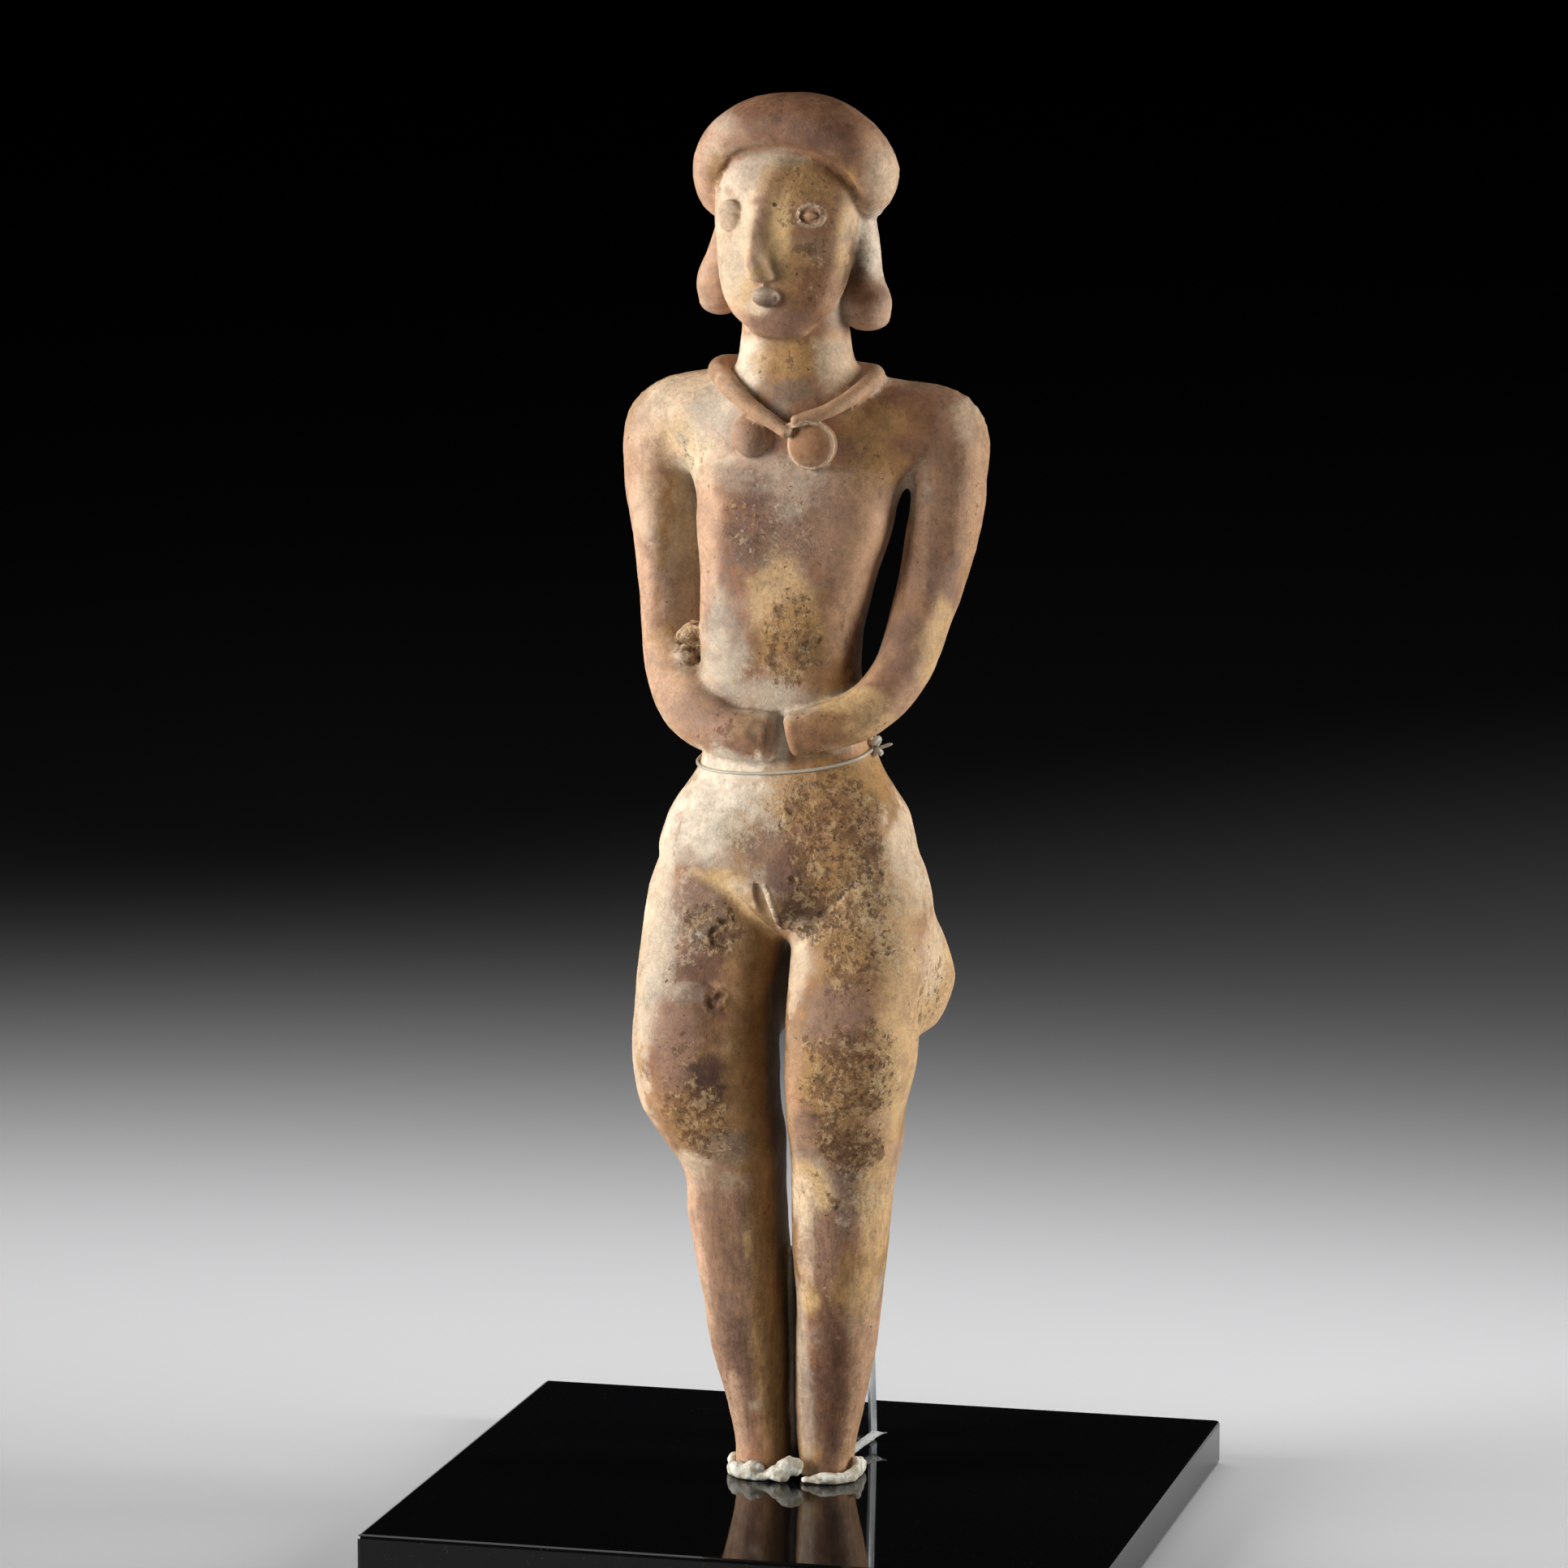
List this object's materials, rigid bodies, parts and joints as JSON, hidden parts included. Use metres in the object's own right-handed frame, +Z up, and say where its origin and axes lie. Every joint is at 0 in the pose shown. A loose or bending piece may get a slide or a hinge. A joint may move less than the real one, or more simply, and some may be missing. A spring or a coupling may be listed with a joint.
{
  "type": "pottery female figurine",
  "caption": "Standing fired clay female figurine with hands at the waist, headband and necklace, held on a black acrylic base by a clear upright and a waist tie.",
  "frame": {"origin": "middle of the base's underside", "axes": "+Z up, -Y is the front edge of the base that the figurine faces, +X is the figurine's left"},
  "size_m": [0.1524, 0.137, 0.2978],
  "materials": {
    "fired_clay": "burnished fired clay, worn, mottled buff, ochre, red-brown and grey",
    "black_acrylic": "polished black acrylic",
    "clear_acrylic": "polished clear acrylic",
    "nylon_line": "smooth translucent nylon line",
    "museum_putty": "pressed off-white putty, matt"
  },
  "bodies": {
    "root": {"pottery_figurine": "fired_clay", "stand_base": "black_acrylic", "stand_upright": "clear_acrylic", "waist_tie": "nylon_line", "ankle_peg": "clear_acrylic", "putty_right_foot": "museum_putty", "putty_left_foot": "museum_putty"}
  },
  "joints": []
}
